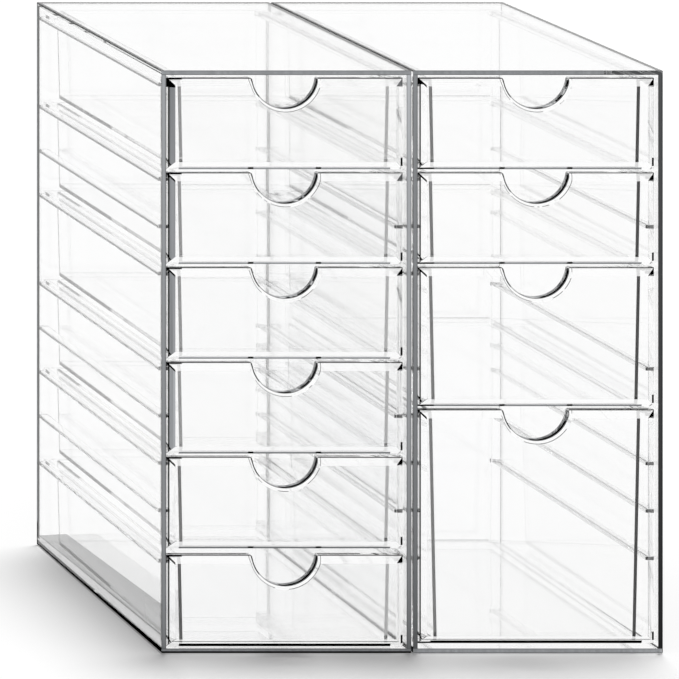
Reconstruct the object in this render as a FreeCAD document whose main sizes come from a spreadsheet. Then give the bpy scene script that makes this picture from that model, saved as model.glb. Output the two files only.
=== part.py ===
import FreeCAD, Part
import Sketcher
import os

# Two clear drawer towers side by side. Every tower is an open-fronted shell with runner ribs on
# its inner sides, and each drawer is a tray that hangs on a pair of ribs by its rim, behind a
# bevelled front plate. Millimetres, +Z up, fronts towards -Y, origin on the table under the middle.

doc = FreeCAD.newDocument("StampDrawers")

DRIVING = {
    "towerWidth": 120.0,
    "towerDepth": 180.0,
    "towerSpacing": 0.9,      # between the two shells
    "shellWall": 2.2,
    "shellRound": 0.5,        # outer long edges
    "unitPitch": 22.8,        # height of one storage unit
    "topClearance": 4.0,      # highest drawer front to the top of the shell
    "baseClearance": 1.8,     # lowest unit to the inside of the base
    "lastDrop": 1.5,          # the lowest of six drawers below its unit, nearly on the base
    "frontSpacing": 1.6,      # between one drawer front and the next
    "frontSideGap": 0.9,      # front plate to shell wall
    "frontInset": 0.6,        # front plate behind the shell's front edge
    "frontThick": 5.0,
    "bevelWide": 3.8,
    "bevelDeep": 2.0,
    "notchRadius": 15.8,
    "notchRise": 1.2,         # notch centre above the top edge
    "notchBevel": 1.8,        # width of the bevel round the notch
    "notchBevelDeep": 1.1,
    "notchCorner": 1.0,       # round where the notch meets the top edge
    "bondLine": 0.05,         # cement between bonded faces
    "rimDrop": 1.0,           # tray rim below the top of the front
    "rimThick": 1.6,
    "rimSideGap": 1.3,        # rim to shell wall
    "rimBack": 1.2,           # how far the rim overhangs the tray's back wall
    "trayWall": 1.6,
    "traySideGap": 2.6,       # tray wall to rib, at the rim
    "trayBackGap": 3.8,       # tray wall to back of the shell
    "trayLift": 0.2,          # tray floor above the lower edge of the front
    "trayDraft": 1.2,         # degrees
    "trayRound": 3.2,
    "ribReach": 4.2,
    "ribThick": 1.9,
    "ribDraft": 0.4,          # the rib's underside rises by this much towards its nose
    "ribFrontGap": 0.3,       # rib behind the front plate
    "ribRunGap": 0.3,         # rim above the rib
}

# units of height of each drawer, from the top down
STACKS = {"left": [2, 2, 2, 2, 2, 2], "right": [2, 2, 3, 5]}
# runner levels on each side, in units down from the top: where a drawer of some height can hang
RIB_LEVELS = [0, 2, 3, 4, 6, 7, 8, 9, 10]
# the level at which a tower's drawer and ribs sit lower than the others
LOW_LEVELS = {"left": 10}

DERIVED = {
    "stackHeight": f"{sum(STACKS['left'])} * unitPitch",
    "firstTop": "shellWall + baseClearance + stackHeight - frontSpacing",
    "towerHeight": "firstTop + topClearance",
    "towerShift": "(towerWidth + towerSpacing) / 2",
    "innerHalf": "towerWidth / 2 - shellWall",
    "frontWidth": "2 * (innerHalf - frontSideGap)",
    "frontBack": "frontInset + frontThick",
    "rimTop": "firstTop - rimDrop",
    "ribTop": "rimTop - rimThick - ribRunGap",
    "ribStart": "frontBack + ribFrontGap",
    "ribLength": "towerDepth - shellWall - bondLine - ribStart",
    "rimHalf": "innerHalf - rimSideGap",
    "trayHalf": "innerHalf - bondLine - ribReach - traySideGap",
    "trayStart": "frontBack + bondLine",
    "trayLength": "towerDepth - shellWall - trayBackGap - trayStart",
    "trayDrop": "trayLift + rimDrop",
}

sheet = doc.addObject("Spreadsheet::Sheet", "Sizes")
for row, (alias, value) in enumerate({**DRIVING, **DERIVED}.items(), start=1):
    sheet.set(f"A{row}", alias)
    sheet.set(f"B{row}", str(value) if alias in DRIVING else f"={value}")
    sheet.setAlias(f"B{row}", alias)
    doc.recompute()

nodes = []


def withSheet(rule):
    # puts the sheet's name before each of its aliases
    words = sorted({**DRIVING, **DERIVED}, key=len, reverse=True)
    out, word = "", ""
    for letter in rule + " ":
        if letter.isalnum():
            word += letter
            continue
        out += f"Sizes.{word}" if word in words else word
        out += letter
        word = ""
    return out.strip()


def bind(thing, rules):
    for prop, rule in rules.items():
        thing.setExpression(prop, withSheet(rule))


def place(thing, across, back, up):
    bind(thing, {".Placement.Base.x": across, ".Placement.Base.y": back, ".Placement.Base.z": up})


def newBody(label, across, back, up):
    body = doc.addObject("PartDesign::Body", label)
    body.Label = label
    place(body, across, back, up)
    nodes.append(body)
    return body


def sketchOn(body, role, offset=None):
    plane = next(p for p in body.Origin.OriginFeatures if p.Role == role)
    sketch = body.newObject("Sketcher::SketchObject", "Sketch")
    sketch.AttachmentSupport = [(plane, "")]
    sketch.MapMode = "FlatFace"
    if offset:
        bind(sketch, {".AttachmentOffset.Base.z": offset})
    return sketch


def measure(sketch, name, rule, *terms):
    index = sketch.addConstraint(Sketcher.Constraint(*terms))
    sketch.renameConstraint(index, name)
    bind(sketch, {f"Constraints.{name}": rule})


def rectangle(sketch, width, height, base=None):
    # symmetric about the sketch's upright axis, standing on its level axis or raised by base
    first = sketch.GeometryCount
    corners = [(-10, 1), (10, 1), (10, 9), (-10, 9)]
    lines = [Part.LineSegment(FreeCAD.Vector(*a, 0), FreeCAD.Vector(*b, 0))
             for a, b in zip(corners, corners[1:] + corners[:1])]
    sketch.addGeometry(lines, False)
    low, right, high, left = range(first, first + 4)
    for a, b in [(low, right), (right, high), (high, left), (left, low)]:
        sketch.addConstraint(Sketcher.Constraint("Coincident", a, 2, b, 1))
    sketch.addConstraint(Sketcher.Constraint("Vertical", right))
    sketch.addConstraint(Sketcher.Constraint("Horizontal", high))
    sketch.addConstraint(Sketcher.Constraint("Vertical", left))
    sketch.addConstraint(Sketcher.Constraint("Symmetric", low, 1, low, 2, -2))
    measure(sketch, f"width{first}", width, "DistanceX", low, 1, low, 2, 20)
    measure(sketch, f"height{first}", height, "DistanceY", right, 1, right, 2, 8)
    if base:
        measure(sketch, f"base{first}", base, "DistanceY", -1, 1, low, 1, 1)
    else:
        sketch.addConstraint(Sketcher.Constraint("PointOnObject", low, 1, -1))


def feature(body, kind, sketch, length, **settings):
    before = body.Shape.Volume if body.Tip else 0
    made = body.newObject(f"PartDesign::{kind}", kind)
    made.Profile = sketch
    bind(made, {"Length": length})
    for prop, value in settings.items():
        setattr(made, prop, value)
    doc.recompute()
    if kind == "Pocket" and made.Shape.Volume >= before:
        raise SystemExit(f"{body.Label}: a pocket cuts nothing")
    return made


def dress(body, kind, base, names, rules, **settings):
    # fillets, chamfers and shelling of the named edges or faces of the last feature
    made = body.newObject(f"PartDesign::{kind}", kind)
    made.Base = (base, names)
    for prop, value in settings.items():
        setattr(made, prop, value)
    bind(made, rules)
    doc.recompute()
    return made


def named(shape, kind, test):
    # names of the faces or edges whose bounding box passes the test
    found = getattr(shape, f"{kind}s")
    return [f"{kind}{i}" for i, piece in enumerate(found, start=1) if test(piece.BoundBox)]


def near(a, b):
    return abs(a - b) < 0.001


def towerShell(label, across):
    body = newBody(label, across, "0", "0")
    block = sketchOn(body, "XZ_Plane", "towerDepth / 2")
    rectangle(block, "towerWidth", "towerHeight")
    solid = feature(body, "Pad", block, "towerDepth", Reversed=True)
    depth = solid.Shape.BoundBox.YLength
    long = named(solid.Shape, "Edge", lambda e: near(e.YLength, depth))
    dress(body, "Fillet", solid, long, {"Radius": "shellRound"})
    mouth = sketchOn(body, "XZ_Plane", "towerDepth / 2")
    rectangle(mouth, "2 * innerHalf", "towerHeight - 2 * shellWall", "shellWall")
    feature(body, "Pocket", mouth, "towerDepth - shellWall")


def drop(side, level):
    return " - lastDrop" if LOW_LEVELS.get(side) == level else ""


def unitBase(side, level, units):
    # lower edge of the drawer front that starts at a level and is some units high
    return f"firstTop - {level + units} * unitPitch + frontSpacing{drop(side, level)}"


def runnerRibs(label, side, across, turn):
    # the ribs of one side, flat on top for the rims and drafted below; each wedge points from
    # the wall towards the middle, so the two sides differ by half a turn
    ribs = []
    for level in RIB_LEVELS:
        rib = doc.addObject("Part::Wedge", f"{label}_{level}")
        bind(rib, {
            "Xmin": "-ribLength / 2", "Xmax": "ribLength / 2",
            "X2min": "-ribLength / 2", "X2max": "ribLength / 2",
            "Ymin": "0", "Ymax": "ribReach",
            "Zmin": "0", "Zmax": "ribThick", "Z2min": "ribDraft", "Z2max": "ribThick",
            ".Placement.Rotation.Angle": turn,
        })
        rib.Placement.Rotation.Axis = FreeCAD.Vector(0, 0, 1)
        place(rib, across, "ribStart + ribLength / 2 - towerDepth / 2",
              f"ribTop - ribThick - {level} * unitPitch{drop(side, level)}")
        ribs.append(rib)
    group = doc.addObject("Part::Compound", label)
    group.Label = label
    group.Links = ribs
    nodes.append(group)


def drawerTray(label, side, across, level, units):
    # an open-topped box, drafted on three sides and rounded at the back, whose rim overhangs the
    # ribs; its local origin is on the underside, at the middle of the front
    body = newBody(label, across, "trayStart - towerDepth / 2", f"{unitBase(side, level, units)} + trayLift")
    tall = f"({units} * unitPitch - frontSpacing - trayDrop)"
    mouth = sketchOn(body, "XY_Plane", tall)
    rectangle(mouth, "2 * trayHalf", "trayLength")
    block = feature(body, "Pad", mouth, tall, Reversed=True)
    top = block.Shape.BoundBox.ZMax
    lid = named(block.Shape, "Face", lambda f: near(f.ZMin, top))
    sides = named(block.Shape, "Face", lambda f: f.ZLength > 1 and not near(f.YMax, 0))
    drafted = dress(body, "Draft", block, sides, {"Angle": "trayDraft"},
                    NeutralPlane=(block, lid), Reversed=True)
    back = named(drafted.Shape, "Edge", lambda e: e.ZMin < 0.001 and e.YMin > 1)
    rounded = dress(body, "Fillet", drafted, back, {"Radius": "trayRound"})
    openings = named(rounded.Shape, "Face", lambda f: near(f.ZMin, top) or near(f.YMax, 0))
    dress(body, "Thickness", rounded, openings, {"Value": "trayWall"}, Reversed=True)
    trayRim(body, f"{tall} - rimThick")


def trayRim(body, height):
    # a flat rim on three sides, let into the top of the walls and open at the front
    ledge = sketchOn(body, "XY_Plane", height)
    rectangle(ledge, "2 * rimHalf", "trayLength + rimBack")
    feature(body, "Pad", ledge, "rimThick")
    hollow = sketchOn(body, "XY_Plane", height)
    rectangle(hollow, "2 * (trayHalf - trayWall)", "trayLength - trayWall")
    feature(body, "Pocket", hollow, "rimThick", Reversed=True)


def notchSketch(body, tall, radius):
    notch = sketchOn(body, "XZ_Plane")
    notch.addGeometry(Part.Circle(FreeCAD.Vector(0, 40, 0), FreeCAD.Vector(0, 0, 1), 10), False)
    notch.addConstraint(Sketcher.Constraint("PointOnObject", 0, 3, -2))
    measure(notch, "rise", f"{tall} + notchRise", "DistanceY", -1, 1, 0, 3, 40)
    measure(notch, "radius", radius, "Radius", 0, 10)
    return notch


def drawerFront(label, side, across, level, units):
    body = newBody(label, across, "frontInset - towerDepth / 2", unitBase(side, level, units))
    tall = f"({units} * unitPitch - frontSpacing)"
    plate = sketchOn(body, "XZ_Plane")
    rectangle(plate, "frontWidth", tall)
    solid = feature(body, "Pad", plate, "frontThick", Reversed=True)
    rim = named(solid.Shape, "Edge", lambda e: near(e.YMax, 0))
    bevel = dress(body, "Chamfer", solid, rim, {"Size": "bevelDeep", "Size2": "bevelWide"},
                  ChamferType="Two distances")
    # the finger notch, bevelled at the front and rounded where it meets the top edge
    notch = notchSketch(body, tall, "notchRadius")
    feature(body, "Pocket", notch, "frontThick")
    flare = notchSketch(body, tall, "notchRadius + notchBevel")
    cut = feature(body, "Pocket", flare, "notchBevelDeep")
    bind(cut, {"TaperAngle": "-atan(notchBevel / notchBevelDeep)"})
    doc.recompute()
    high, wide = cut.Shape.BoundBox.ZMax, cut.Shape.BoundBox.XMax
    corners = named(cut.Shape, "Edge", lambda e: near(e.ZMin, high) and near(e.XLength, 0)
                    and abs(e.XMin) < wide - 1)
    dress(body, "Fillet", cut, corners, {"Radius": "notchCorner"})


for side, stack in STACKS.items():
    across = "-towerShift" if side == "left" else "towerShift"
    towerShell(f"{side}_tower_shell", across)
    runnerRibs(f"{side}_tower_left_ribs", side, f"{across} - innerHalf + bondLine", "-90")
    runnerRibs(f"{side}_tower_right_ribs", side, f"{across} + innerHalf - bondLine", "90")
    level = 0
    for number, units in enumerate(stack, start=1):
        drawerTray(f"{side}_drawer_{number}_tray", side, across, level, units)
        drawerFront(f"{side}_drawer_{number}_front", side, across, level, units)
        level += units

doc.recompute()
failed = [thing.Name for thing in doc.Objects if {"Invalid", "Error"} & set(thing.State)]
unsound = [node.Label for node in nodes if node.Shape.isNull() or not node.Shape.isValid()]
if failed or unsound:
    raise SystemExit(f"failed: {failed}, unsound: {unsound}")

os.makedirs("parts", exist_ok=True)
for node in nodes:
    node.Shape.exportStep(f"parts/{node.Label}.step")
    box = node.Shape.BoundBox
    print(f"{node.Label}: {len(node.Shape.Solids)} solid, {node.Shape.Volume:.0f} mm3, "
          f"x {box.XMin:.2f}..{box.XMax:.2f}, y {box.YMin:.2f}..{box.YMax:.2f}, "
          f"z {box.ZMin:.2f}..{box.ZMax:.2f}")
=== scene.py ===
import math

import bmesh
import bpy
from mathutils import Matrix, Vector


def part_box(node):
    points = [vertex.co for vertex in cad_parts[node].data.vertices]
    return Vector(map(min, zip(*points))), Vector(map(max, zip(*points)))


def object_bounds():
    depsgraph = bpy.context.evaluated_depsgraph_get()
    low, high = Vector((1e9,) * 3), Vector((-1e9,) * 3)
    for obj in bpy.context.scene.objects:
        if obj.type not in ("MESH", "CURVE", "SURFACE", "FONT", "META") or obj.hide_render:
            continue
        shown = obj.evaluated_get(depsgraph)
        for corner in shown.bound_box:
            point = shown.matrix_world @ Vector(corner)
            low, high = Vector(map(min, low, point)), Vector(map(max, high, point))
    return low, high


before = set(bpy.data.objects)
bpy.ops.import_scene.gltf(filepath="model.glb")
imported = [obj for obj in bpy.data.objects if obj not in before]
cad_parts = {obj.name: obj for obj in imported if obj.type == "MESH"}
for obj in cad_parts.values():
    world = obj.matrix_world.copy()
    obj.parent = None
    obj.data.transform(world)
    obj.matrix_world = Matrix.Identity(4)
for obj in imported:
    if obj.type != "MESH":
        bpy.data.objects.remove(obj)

scene = bpy.context.scene
cadBox = [list(corner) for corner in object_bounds()]
low = Vector(cadBox[0])


class Wire:
    # an output socket, on which Python's operators add Math nodes
    def __init__(self, bench, socket):
        self.bench = bench
        self.socket = socket

    def math(self, operation, *terms):
        return self.bench.node("ShaderNodeMath", {"operation": operation}, dict(enumerate(terms)))

    def __add__(self, other):
        return self.math("ADD", self, other)

    def __radd__(self, other):
        return self.math("ADD", other, self)

    def __sub__(self, other):
        return self.math("SUBTRACT", self, other)

    def __rsub__(self, other):
        return self.math("SUBTRACT", other, self)

    def __mul__(self, other):
        return self.math("MULTIPLY", self, other)

    def __rmul__(self, other):
        return self.math("MULTIPLY", other, self)

    def __truediv__(self, other):
        return self.math("DIVIDE", self, other)

    def __pow__(self, other):
        return self.math("POWER", self, other)

    def __abs__(self):
        return self.math("ABSOLUTE", self)

    def __gt__(self, other):
        return self.math("GREATER_THAN", self, other)

    def __lt__(self, other):
        return self.math("LESS_THAN", self, other)


class Bench:
    # adds nodes to one tree
    def __init__(self, tree):
        self.tree = tree
        tree.nodes.clear()

    def node(self, kind, settings, sockets, out=0):
        made = self.tree.nodes.new(kind)
        for key, value in settings.items():
            setattr(made, key, value)
        for key, value in sockets.items():
            if isinstance(value, Wire):
                self.tree.links.new(value.socket, made.inputs[key])
            else:
                made.inputs[key].default_value = value
        if made.outputs:
            return Wire(self, made.outputs[out])
        return made

    def split(self, vector):
        parts = self.node("ShaderNodeSeparateXYZ", {}, {0: vector}).socket.node.outputs
        return [Wire(self, parts[axis]) for axis in "XYZ"]

    def mix(self, factor, first, second):
        # two colours, inputs 6 and 7 of the node
        return self.node("ShaderNodeMix", {"data_type": "RGBA"}, {0: factor, 6: first, 7: second}, out=2)


viewpoint = {
    "eye": Vector((-0.9862, -2.5119, 0.7549)),
    "aim": Vector((-0.0349, low.y, 0.1507)),
    "lens": 294.7,
    "near": 0.1,
    "far": 50.0,
}


def makeCamera():
    forward = (viewpoint["aim"] - viewpoint["eye"]).normalized()
    data = bpy.data.cameras.new("camera")
    data.lens = viewpoint["lens"]
    data.clip_start = viewpoint["near"]
    data.clip_end = viewpoint["far"]
    camera = bpy.data.objects.new("camera", data)
    scene.collection.objects.link(camera)
    stand = bpy.data.objects.new("cameraStand", None)
    scene.collection.objects.link(stand)
    # the picture's sides run along x and z, so the drawer fronts show square
    across = Matrix((Vector((1, 0, 0)), Vector((0, 0, 1)), -forward)).transposed().to_4x4()
    camera.parent = stand
    camera.matrix_parent_inverse = Matrix.Translation(viewpoint["eye"]) @ across
    scene.camera = camera


studio = {
    "world": 0.25,
    "sun": 0.75,
    "sunTilt": 12.0,
    "sunTurn": 140.0,
    "sunAngle": 13.0,
    "floorSize": 30.0,
    "floorSpace": 0.0002,     # below the towers
    "floorWhite": 1.0,
    "floorGlow": 0.85,        # share of its own light that the floor shows through and in the plastic
    "floorLift": 0.05,        # light that the backdrop adds to the floor for the camera
}


def rayMask(bench, *names):
    # 1 for rays of any of these kinds
    path = bench.node("ShaderNodeLightPath", {}, {}).socket.node
    total = Wire(bench, path.outputs[names[0]])
    for name in names[1:]:
        total = total + Wire(bench, path.outputs[name])
    return bench.node("ShaderNodeMath", {"operation": "MINIMUM"}, {0: total, 1: 1.0})


def makeWorld():
    world = bpy.data.worlds.new("studio")
    world.use_nodes = True
    scene.world = world
    bench = Bench(world.node_tree)
    seen = rayMask(bench, "Is Camera Ray", "Is Glossy Ray", "Is Transmission Ray")
    strength = seen * (1 - studio["world"]) + studio["world"]
    light = bench.node("ShaderNodeBackground", {}, {"Color": (1, 1, 1, 1), "Strength": strength})
    bench.node("ShaderNodeOutputWorld", {}, {"Surface": light})


def makeSun():
    lamp = bpy.data.lights.new("sun", "SUN")
    tilt = math.radians(studio["sunTilt"])
    turn = math.radians(studio["sunTurn"])
    lamp.energy = studio["sun"] * math.pi / math.cos(tilt)
    lamp.angle = math.radians(studio["sunAngle"])
    sun = bpy.data.objects.new("sun", lamp)
    sun.rotation_euler = (tilt, 0.0, turn)
    scene.collection.objects.link(sun)


def floorPaint():
    material = bpy.data.materials.new("floorPaint")
    material.use_nodes = True
    bench = Bench(material.node_tree)
    through = rayMask(bench, "Is Glossy Ray", "Is Transmission Ray")
    white = studio["floorWhite"]
    paint = bench.node("ShaderNodeBsdfDiffuse", {}, {"Color": (white, white, white, 1)})
    glow = bench.node("ShaderNodeEmission", {}, {"Color": (1, 1, 1, 1), "Strength": 1.0})
    lit = bench.node("ShaderNodeMixShader", {}, {0: through * studio["floorGlow"], 1: paint, 2: glow})
    lift = bench.node("ShaderNodeEmission", {}, {
        "Color": (1, 1, 1, 1), "Strength": rayMask(bench, "Is Camera Ray") * studio["floorLift"]})
    both = bench.node("ShaderNodeAddShader", {}, {0: lit, 1: lift})
    bench.node("ShaderNodeOutputMaterial", {}, {"Surface": both})
    return material


def makeFloor():
    mesh = bpy.data.meshes.new("floor")
    build = bmesh.new()
    bmesh.ops.create_grid(build, x_segments=4, y_segments=4, size=studio["floorSize"] / 2)
    build.to_mesh(mesh)
    build.free()
    mesh.materials.append(floorPaint())
    floor = bpy.data.objects.new("floor", mesh)
    floor.location.z = low.z - studio["floorSpace"]
    scene.collection.objects.link(floor)


plastic = {
    "ior": 1.49,
    "absorb": 1.0,
    "shadow": 0.95,
    "polish": 0.004,          # roughness of a polished face
    "flow": 0.005,            # added along the lines in which the plastic flowed
    "scratch": 0.02,          # added in the scratches
    "cool": (0.993, 0.995, 0.998, 1.0),
    "warm": (1.0, 0.999, 0.996, 1.0),
    "wave": 0.018,            # bump of a drawer's faces
    "flatWave": 0.008,        # and of the towers' flat sheets
    "waveDeep": 0.001,        # the height, in metres, that the bump is a share of
    "dark": (0.0, 0.0, 0.0, 1.0),         # painted shade: the darkest tone of the painted edges, where an edge would pass light away from the eye
    "pale": (0.92, 0.95, 0.985, 1.0),     # painted light: the palest tone of the painted edges, an edge as it looks in full light
    "tintScale": (9, 4, 14),              # how fine the noise is along x, y and z, per metre
    "flowScale": (40, 5, 160),
    "scratchScale": (900, 25, 340),
    "waveScale": (30, 8, 30),
    "scratchLimit": 0.72,
    "edgeRough": 0.5,
    "edgeFlow": 0.2,
}


turned = {"square": 0.9, "half": 0.5, "slight": 0.3}      # how far a face looks one way
millimetres = 1000        # in a metre
skin = 0.2                # millimetres behind a piece's foremost face


class Piece:
    # millimetres from the sides of a CAD node's box, and which way its faces look
    def __init__(self, bench, name):
        lowest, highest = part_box(name)
        self.spot = bench.node("ShaderNodeTexCoord", {}, {}, out="Object")
        x, y, z = bench.split(self.spot)
        self.width = (highest.x - lowest.x) * millimetres
        self.height = (highest.z - lowest.z) * millimetres
        self.left = (x - lowest.x) * millimetres
        self.right = (highest.x - x) * millimetres
        self.front = (y - lowest.y) * millimetres
        self.back = (highest.y - y) * millimetres
        self.bottom = (z - lowest.z) * millimetres
        self.top = (highest.z - z) * millimetres
        geometry = bench.node("ShaderNodeNewGeometry", {}, {}).socket.node.outputs
        outward = 1 - 2 * Wire(bench, geometry["Backfacing"])
        look = bench.split(Wire(bench, geometry["True Normal"]))
        # how far a face looks to the right, to the back and up
        self.side, self.depth, self.up = [part * outward for part in look]
        self.facing = (self.depth < -turned["square"]) * (self.front < skin)


def noise(bench, spot, scale, detail=1.0):
    # seamless noise, with a scale for each direction
    stretched = bench.node("ShaderNodeVectorMath", {"operation": "MULTIPLY"}, {0: spot, 1: scale})
    return bench.node("ShaderNodeTexNoise", {}, {"Vector": stretched, "Scale": 1.0, "Detail": detail})


def clearPlastic(name, marks, wave, mirror=None):
    # marks gives the painted shade and painted light on edges and faces: where they are, how pale, and how
    # much they cover;
    # mirror gives the share of a face that mirrors
    material = bpy.data.materials.new(name)
    material.use_nodes = True
    bench = Bench(material.node_tree)
    piece = Piece(bench, name)
    tint = bench.mix(noise(bench, piece.spot, plastic["tintScale"]), plastic["cool"], plastic["warm"])
    flow = noise(bench, piece.spot, plastic["flowScale"])
    scratches = noise(bench, piece.spot, plastic["scratchScale"], 0.0) > plastic["scratchLimit"]
    rough = flow * plastic["flow"] + scratches * plastic["scratch"] + plastic["polish"]
    swell = noise(bench, piece.spot, plastic["waveScale"])
    bump = bench.node("ShaderNodeBump", {}, {
        "Strength": wave, "Distance": plastic["waveDeep"], "Height": swell})
    sockets = {
        "Base Color": tint,
        "Roughness": rough,
        "IOR": plastic["ior"],
        "Transmission Weight": 1.0,
        "Normal": bump,
    }
    if mirror:
        sockets["Metallic"] = mirror(piece)
    body = bench.node("ShaderNodeBsdfPrincipled", {}, sockets)
    path = bench.node("ShaderNodeLightPath", {}, {}, out="Is Shadow Ray")
    lit = plastic["shadow"]
    through = bench.node("ShaderNodeBsdfTransparent", {}, {"Color": (lit, lit, lit, 1)})
    clear = bench.node("ShaderNodeMixShader", {}, {0: path, 1: body, 2: through})
    # painted shade and painted light: each mark lays its tone over the clear plastic through an opaque
    # matte shader
    shade = 0.5
    cover = 0.0
    for mask, tone, strength in marks(bench, piece):
        shade = mask * (tone - shade) + shade
        cover = mask * (strength - cover) + cover
    edge = bench.node("ShaderNodeBsdfPrincipled", {}, {
        "Base Color": bench.mix(shade, plastic["dark"], plastic["pale"]),
        "Roughness": plastic["edgeRough"] + flow * plastic["edgeFlow"],
        "Specular IOR Level": 0.0,
    })
    surface = bench.node("ShaderNodeMixShader", {}, {0: cover, 1: clear, 2: edge})
    density = plastic["absorb"]
    inside = bench.node("ShaderNodeVolumeAbsorption", {}, {"Color": (0, 0, 0, 1), "Density": density})
    bench.node("ShaderNodeOutputMaterial", {}, {"Surface": surface, "Volume": inside})
    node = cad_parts[name]
    node.data.materials.clear()
    node.data.materials.append(material)


# painted shade and light: how pale each side of a shell's front rim is painted, at its low end and its
# high end
rims = {
    "left": {"left": (0.42, 0.58), "right": (0.34, 0.80), "top": (0.50, 0.50), "bottom": (0.55, 0.55)},
    "right": {"left": (0.26, 0.48), "right": (0.03, 0.14), "top": (0.46, 0.46), "bottom": (0.68, 0.68)},
}
openSide = {"left": -1, "right": 1}     # the side on which nothing stands beside the tower
black = 0.0
whole = 1.0                             # a mark that covers the plastic entirely
streaky = {"base": 0.7, "swing": 0.6}   # how the streaks vary the painted shade of an edge
shell = {                               # millimetres, tones and shares
    "wall": 2.2,
    "deep": 180.0,
    "border": 0.35,           # painted shade: dark lines along both sides of the rim
    "borderTone": 0.55,
    "backLine": 1.3,          # painted shade: the line down the outer back corner
    "backFoot": 12,           # it is black up to here
    "backPale": 0.42,
    "backDark": 0.02,
    "topLine": 0.7,
    "topTone": 0.12,
    "topCover": 0.85,
    "inside": 2.5,            # how far in the left wall's inner face lies, at most
    "stripBack": 4.6,         # the painted shadow strip's height at the back, its rise, and where it levels off
    "stripRise": 55,
    "stripLevel": 16.3,
    "stripSlope": 6.8,
    "stripTone": 0.30,
    "stripCover": 0.5,
    "shadeLineBack": 5.2,          # height of the painted dark line in the shadow strip, at the back, and its rise to the front
    "shadeLineRise": 3.0,
    "shadeLineHalf": 0.2,
    "shadeLineSpread": 0.3,
    "shadeLineTone": 0.12,
    "shadeLineCover": 0.8,
    "lowTone": 0.35,          # the part of the painted shadow strip below that line
    "lowCover": 0.35,
    "lip": 0.9,               # painted shade: black lower front edge
    "lipDeep": 0.6,
    "lipTurn": 0.2,
    "streakLimit": 0.55,
    "streakTone": 0.01,
    "streakScale": (500, 10, 6),
    "darkEnd": 18,            # painted shade: the right tower's upper rim is darker at its right end
    "darkReach": 20,
    "darkTone": 0.16,
    "darkCover": 0.8,
    "foot": 1.0,              # painted shade: the black lower outline, heavier towards the front
    "footRise": 1.5,
}


def leftShellMarks(piece, forward):
    # painted shadow: a grey strip, with a darker line in it, on the lower part of the left wall's inner
    # face, standing in for the shadow under the base seen through the wall; and a black lower front edge
    inner = (piece.side > turned["square"]) * (piece.left < shell["inside"])
    rising = piece.bottom < shell["stripBack"] + forward * shell["stripRise"]
    level = piece.bottom < shell["stripLevel"] + forward * shell["stripSlope"]
    strip = inner * rising * level
    shadeLine = shell["shadeLineBack"] + forward * shell["shadeLineRise"]
    line = abs(piece.bottom - shadeLine) < shell["shadeLineHalf"] + forward * shell["shadeLineSpread"]
    lip = (piece.front < shell["lipDeep"]) * (piece.depth < -shell["lipTurn"])
    return [
        (strip, shell["stripTone"], shell["stripCover"]),
        (strip * (piece.bottom < shadeLine), shell["lowTone"], shell["lowCover"]),
        (strip * line, shell["shadeLineTone"], shell["shadeLineCover"]),
        (lip * (piece.bottom < shell["lip"]), black, whole),
    ]


def rightShellMarks(piece, streak):
    # painted shade: a streaked black line along the rim's right edge, and the upper rim darker at its
    # right end
    outline = (piece.right < shell["border"]) * (streak < shell["streakLimit"])
    darkEnd = piece.right < shell["darkEnd"] + streak * shell["darkReach"]
    return [
        (piece.facing * outline, shell["streakTone"], whole),
        (piece.facing * (piece.top < shell["wall"]) * darkEnd, shell["darkTone"], shell["darkCover"]),
    ]


def shellMarks(side):
    def marks(bench, piece):
        wall = shell["wall"]
        line = shell["border"]
        streak = noise(bench, piece.spot, shell["streakScale"], 2.0)
        forward = 1 - piece.front / shell["deep"]
        found = []
        # painted shade and light: each side of the front rim in its streaked tone, with darker lines along
        # both sides
        for edge, (lowTone, highTone) in rims[side].items():
            away = getattr(piece, edge)
            band = piece.facing * (away < wall)
            tone = lowTone + piece.bottom * ((highTone - lowTone) / piece.height)
            found.append((band, tone * (streaky["base"] + streak * streaky["swing"]), whole))
            border = (away < line) + (away > wall - line)
            found.append((band * border, tone * shell["borderTone"], whole))
        # painted shade: thin dark lines where the outer faces meet
        outer = (piece.side * openSide[side]) > turned["square"]
        backTone = (piece.bottom > shell["backFoot"]) * shell["backPale"] + shell["backDark"]
        found.append((outer * (piece.back < shell["backLine"]), backTone, whole))
        topEdge = (abs(piece.side) > turned["square"]) * (piece.top < shell["topLine"])
        found.append((topEdge, shell["topTone"], shell["topCover"]))
        if side == "left":
            found += leftShellMarks(piece, forward)
        else:
            found += rightShellMarks(piece, streak)
        # painted shade: a black lower outline round the sides
        foot = piece.bottom < shell["foot"] + forward * shell["footRise"]
        found.append(((abs(piece.side) > turned["slight"]) * foot, black, whole))
        return found
    return marks


ribs = {
    "sideTone": 0.4,
    "sideCover": 0.09,
    "backTone": 0.3,
    "backCover": 0.5,
    "darkEnd": 0.02,
    "paleEnd": 0.45,          # painted light added at the front ends of the upper ribs
    "paleAbove": {            # height in millimetres, for the ribs on the left and on the right
        "left": (170, 195),
        "right": (110, 250),
    },
}


def ribMarks(paleAbove):
    # painted light and shade: the front ends of the upper ribs are pale, those of the lower ones dark, and
    # the ribs' sides and backs a faint grey
    def marks(bench, piece):
        height = bench.split(piece.spot)[2] * millimetres
        pale = height > paleAbove
        return [
            (abs(piece.side) > turned["square"], ribs["sideTone"], ribs["sideCover"]),
            (piece.depth > turned["square"], ribs["backTone"], ribs["backCover"]),
            (piece.facing, ribs["darkEnd"] + pale * ribs["paleEnd"], whole),
        ]
    return marks


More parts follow.
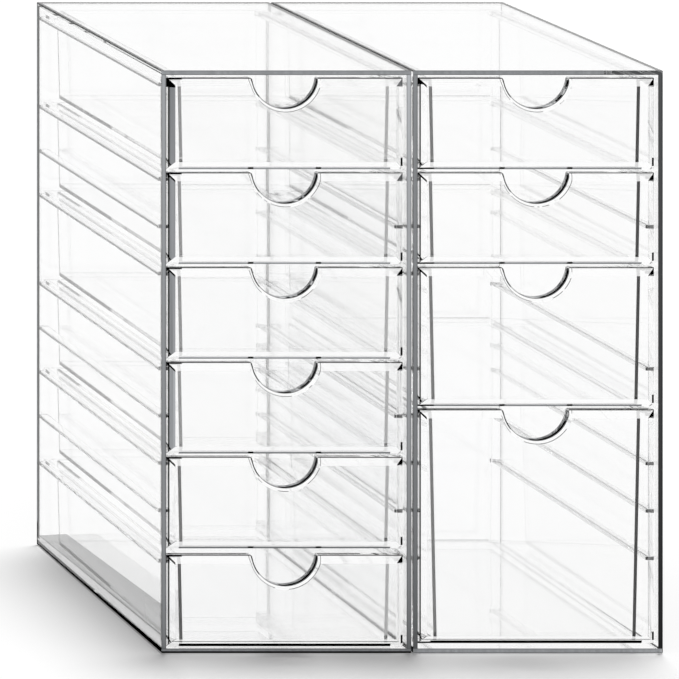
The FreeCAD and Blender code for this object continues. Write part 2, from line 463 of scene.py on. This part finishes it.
tray = {
    "streakScale": (700, 10, 12),
    "border": 0.35,           # painted shade: a dark line along the outer side of each wall's front edge
    "borderTone": 0.15,
    "borderCover": 0.8,
    "low": 0.6,               # height of a thin painted shade line all round
    "lowHalf": 0.22,
    "lowTone": 0.08,
    "shadeLine": 0.5,              # height of the painted shade line below the right wall
    "shadeLineHalf": 0.28,
    "shadeLineTurn": 0.4,
    "shadeLineTone": 0.03,
    "rim": 1.7,
    "rimTone": 0.4,
    "rimCover": 0.35,
    "rimDark": 9,             # the rim's front edge is painted black up to here
}


def trayMirror(leftShare, rightShare):
    # the share of each wall's front edge that mirrors
    def mirror(piece):
        return piece.facing * ((piece.left < piece.width / 2) * (leftShare - rightShare) + rightShare)
    return mirror


def trayMarks(look):
    def marks(bench, piece):
        streak = noise(bench, piece.spot, tray["streakScale"], 2.0)
        # painted shade: streaked grey front edges of the walls with dark lines beside them, dark lines
        # round the foot and below the right wall, and a grey rim with a black left end
        found = []
        for away, wall in ((piece.left, "leftWall"), (piece.right, "rightWall")):
            tone, strength = look[wall]
            half = piece.facing * (away < piece.width / 2)
            found.append((half, tone * (streaky["base"] + streak * streaky["swing"]), strength))
            found.append((half * (away < tray["border"]), tray["borderTone"], tray["borderCover"]))
        low = abs(piece.bottom - tray["low"]) < tray["lowHalf"]
        upright = (abs(piece.up) < turned["square"]) * (piece.depth > -turned["half"])
        found.append((low * upright, tray["lowTone"], look["around"]))
        shadeLine = abs(piece.bottom - tray["shadeLine"]) < tray["shadeLineHalf"]
        found.append(((piece.side > tray["shadeLineTurn"]) * shadeLine, tray["shadeLineTone"], look["shadeLine"]))
        rim = piece.facing * (piece.top < tray["rim"])
        found.append((rim, tray["rimTone"], tray["rimCover"]))
        found.append((rim * (piece.left < tray["rimDark"]), black, whole))
        return found
    return marks


bevel = {
    "streakScale": (900, 10, 8),
    "brushScale": (120, 30, 120),
    "wide": 3.8,
    "notch": 15.8,            # radius
    "rise": 1.2,              # of the notch's centre above the front
    "gap": 0.85,              # clear strip at the left, beside the painted black line
    "gapLine": 0.25,
    "gapHalf": 0.3,
    "upMirror": 0.7,          # shares of a mirror: faces above and below, at the left, at the right
    "leftMirror": 0.3,
    "rightMirror": 0.1,
    "corner": 6,              # the foot line stays this far from the sides
    "footDark": 0.3,
    "topLine": 0.4,
    "heavyLine": 0.8,
    "heavyFoot": 0.9,
    "mitre": 0.55,
    "hook": 3.4,              # height of the painted dark end of the right bevel
    "shadeDot": 16.3,             # two painted black spots of shade in the lower edge, this far from the middle
    "shadeDotHalf": 1.3,
    "shadeDotHigh": 1.1,
    # painted shade: grey streaks on the right bevel
    "shadeStreakLimit": 0.45,
    "shadeStreakTone": 0.6,
    "shadeStreakCover": 0.3,
    "spot": 3.6,              # height of the painted dark spot on the right bevel
    "spotHalf": 2.0,
    "spotWide": 1.2,
    "spotTone": 0.02,
    "footShade": 0.4,         # the foot line's lowest part is darker by this
    "mitreLow": 0.25,
    "mitreTone": 0.05,
    "bandBase": 0.5,
    "stroke": 5.2,            # a short painted black stroke: its height at the left, its slope and its width
    "strokeSlope": 1.6,
    "strokeHalf": 0.5,
    "strokeWide": 2.4,
}
notch = {                     # painted shade round the notch: distances from the arc, from the middle and from the front's face
    "skin": 0.1,
    "inner": 1.0,
    "greyFrom": -10,
    "greyTone": 0.6,
    "greyCover": 0.5,
    "blackFrom": -3,
    "blackDeep": 2.9,
    "blackLimit": 0.40,
    "lineFrom": 4,
    "line": 3.0,
    "lineHalf": 0.25,
    "lineTone": 0.1,
    "rearFrom": -6,
    "rear": 4.5,
    "rearTone": 0.1,
    "rearCover": 0.8,
    "edge": 0.3,
    "edgePaleFrom": 5,
    "edgePale": 0.1,
    "edgeDark": 0.02,
    "edgeCover": 0.9,
    "heel": 0.6,
    "heelTo": -12.5,
    "crease": 1.55,
    "creaseHalf": 0.13,
    "creaseLimit": 0.45,
    "creaseTone": 0.05,
    "creaseCover": 0.9,
}


def bevelMirror(piece):
    # the sloping faces above and below mirror more than those at the sides
    sloping = piece.depth < -turned["half"]
    level = (abs(piece.up) > turned["slight"]) * bevel["upMirror"]
    left = (piece.side < -turned["slight"]) * bevel["leftMirror"]
    right = (piece.side > turned["slight"]) * bevel["rightMirror"]
    return sloping * (level + left + right)


def notchMarks(piece, middle, sloping, brush):
    # painted shade: the notch's wall, streaked along its arc in greys and black, and dark lines on the
    # bevel round it
    radius = bevel["notch"]
    above = piece.top + bevel["rise"]
    reach = (middle * middle + above * above) ** 0.5
    wall = (reach < radius + notch["skin"]) * (piece.front > notch["inner"])
    dark = (piece.front < notch["blackDeep"]) * (brush > notch["blackLimit"])
    line = abs(piece.front - notch["line"] - brush) < notch["lineHalf"]
    edge = sloping * (reach < radius + notch["edge"])
    edgeTone = (middle > notch["edgePaleFrom"]) * notch["edgePale"] + notch["edgeDark"]
    heel = (reach < radius + notch["heel"]) * (middle < notch["heelTo"])
    crease = (abs(reach - radius - notch["crease"]) < notch["creaseHalf"]) * (brush > notch["creaseLimit"])
    rear = (middle > notch["rearFrom"]) * (piece.front > notch["rear"])
    return [
        (wall * (middle > notch["greyFrom"]), notch["greyTone"], notch["greyCover"]),
        (wall * (middle > notch["blackFrom"]) * dark, black, whole),
        (wall * (middle > notch["lineFrom"]) * line, notch["lineTone"], whole),
        (wall * rear, notch["rearTone"], notch["rearCover"]),
        (edge, edgeTone, notch["edgeCover"]),
        (sloping * heel, black, whole),
        (sloping * crease, notch["creaseTone"], notch["creaseCover"]),
    ]


def frontMarks(look):
    def marks(bench, piece):
        streak = noise(bench, piece.spot, bevel["streakScale"], 2.0)
        brush = noise(bench, piece.spot, bevel["brushScale"], 2.0)
        middle = piece.left - piece.width / 2
        sloping = piece.depth < -turned["half"]
        leftBevel = (piece.side < -turned["slight"]) * sloping * (piece.left < bevel["wide"])
        rightBevel = (piece.side > turned["slight"]) * sloping * (piece.right < bevel["wide"])
        between = (piece.left > bevel["corner"]) * (piece.right > bevel["corner"])
        foot = sloping * (piece.bottom < look["footHigh"]) * between
        spot = (piece.right < bevel["spotWide"]) * (abs(piece.bottom - bevel["spot"]) < bevel["spotHalf"])
        heavyTop = (piece.top < bevel["heavyLine"]) * (piece.left < look["topLine"])
        heavyFoot = (piece.bottom < bevel["heavyFoot"]) * (piece.left < look["footLine"])
        shadeDot = abs(abs(middle) - bevel["shadeDot"]) < bevel["shadeDotHalf"]
        # painted shade: grey streaks and a black spot on the right bevel, and the lower edge in its given
        # tone
        found = [
            (rightBevel * (streak < bevel["shadeStreakLimit"]), bevel["shadeStreakTone"], bevel["shadeStreakCover"]),
            (rightBevel * spot, bevel["spotTone"], whole),
            (foot, look["foot"], whole),
            (foot * (piece.bottom < bevel["footDark"]), look["foot"] * bevel["footShade"], whole),
        ]
        found += notchMarks(piece, middle, sloping, brush)
        found += [
            # painted shade: black lines along the top edge, heavier at its left end, and along the foot,
            # the left mitre and two spots of the lower edge
            (sloping * (piece.top < bevel["topLine"]), black, whole),
            (sloping * heavyTop, black, whole),
            (sloping * heavyFoot, black, whole),
            (leftBevel * (abs(piece.left - piece.bottom) < bevel["mitreLow"]), bevel["mitreTone"], whole),
            (sloping * (piece.bottom < bevel["shadeDotHigh"]) * shadeDot, black, whole),
        ]
        # painted shade: a grey band on the left bevel, where a drawer gives one
        if "band" in look:
            band = (piece.left > bevel["gap"]) * (piece.bottom > piece.left) * (piece.top > piece.left)
            found.append((leftBevel * band, look["band"] * (bevel["bandBase"] + streak), whole))
        # painted shade: a black line beside the clear strip at the left
        gapLine = abs(piece.left - bevel["gap"] - bevel["gapLine"]) < bevel["gapHalf"]
        found.append((leftBevel * gapLine, black, whole))
        # painted shade: black lines at the mitre of the top left corner
        mitre = sloping * (piece.left < bevel["wide"])
        found.append((mitre * (abs(piece.left - piece.top) < bevel["mitre"]), black, whole))
        found.append((mitre * (piece.top < look["corner"]) * (piece.top > piece.left), black, whole))
        # painted shade: a short black stroke at the lower left, and the dark ends of the right bevel
        fall = piece.bottom + piece.left * bevel["strokeSlope"] - bevel["stroke"]
        stroke = (piece.left < bevel["strokeWide"]) * (abs(fall) < bevel["strokeHalf"])
        found.append((leftBevel * stroke, black, whole))
        hook = (piece.top < bevel["hook"]) * (piece.top > piece.right)
        found.append((rightBevel * hook, look["hook"], whole))
        return found
    return marks


print("camera and studio")
makeCamera()
makeWorld()
makeSun()
makeFloor()
scene.view_settings.view_transform = "Standard"
paths = {
    "max_bounces": 32,
    "transmission_bounces": 32,
    "glossy_bounces": 16,
    "transparent_max_bounces": 64,
    "caustics_refractive": False,
    "caustics_reflective": False,
}
for setting, value in paths.items():
    setattr(scene.cycles, setting, value)

print("shells and ribs")
for side, heights in ribs["paleAbove"].items():
    clearPlastic(f"{side}_tower_shell", shellMarks(side), plastic["flatWave"])
    for rib, height in zip(("left", "right"), heights):
        clearPlastic(f"{side}_tower_{rib}_ribs", ribMarks(height), plastic["flatWave"])

print("drawers")
# painted shade and light: how pale each front's left bevel (clear if not given), lower edge and right
# corner are painted, how far the heavy painted lines reach from the left, how large its painted dark
# corner is, and the tray's left wall
drawers = {
    "left_drawer_1": {"band": 0.50, "foot": 0.60, "hook": 0.40, "topLine": 7.5, "corner": 4.4},
    "left_drawer_2": {"band": 0.56, "foot": 0.60, "hook": 0.25, "topLine": 7.5},
    "left_drawer_3": {"band": 0.56, "foot": 0.60, "hook": 0.0, "topLine": 7.5},
    "left_drawer_4": {"band": 0.72, "foot": 0.40, "hook": 0.0, "topLine": 7.5},
    "left_drawer_5": {"foot": 0.35, "hook": 0.0, "topLine": 7.5, "leftWall": (0.35, 0.7)},
    "left_drawer_6": {"foot": 0.0, "footHigh": 1.5, "hook": 0.0, "topLine": 7.5, "leftWall": (0.25, 0.9)},
    "right_drawer_1": {"foot": 0.50, "hook": 0.0, "footLine": 8.0, "corner": 3.0},
    "right_drawer_2": {"foot": 0.50, "hook": 0.0, "footLine": 8.0},
    "right_drawer_3": {"foot": 0.45, "hook": 0.0, "footLine": 8.0},
    "right_drawer_4": {"foot": 0.0, "footHigh": 1.5, "hook": 0.0, "footLine": 8.0},
}
plainFront = {"topLine": 0.0, "footLine": 0.0, "footHigh": 0.95, "corner": 0.0}
# each tray wall's front edge as painted tone and cover, how much the painted shade lines all round and
# below the right wall cover, and the mirror shares
walls = {
    "left": {
        "leftWall": (0.50, 0.40),
        "rightWall": (0.62, 0.32),
        "around": 0.35,
        "shadeLine": 0.4,
        "mirror": (0.42, 0.58),
    },
    "right": {
        "leftWall": (0.50, 0.55),
        "rightWall": (0.15, 0.92),
        "around": 0.6,
        "shadeLine": 1.0,
        "mirror": (0.30, 0.0),
    },
}
for name, own in drawers.items():
    side = name.split("_")[0]
    look = {**plainFront, **walls[side], **own}
    clearPlastic(f"{name}_tray", trayMarks(look), plastic["wave"], trayMirror(*look["mirror"]))
    clearPlastic(f"{name}_front", frontMarks(look), plastic["wave"], bevelMirror)
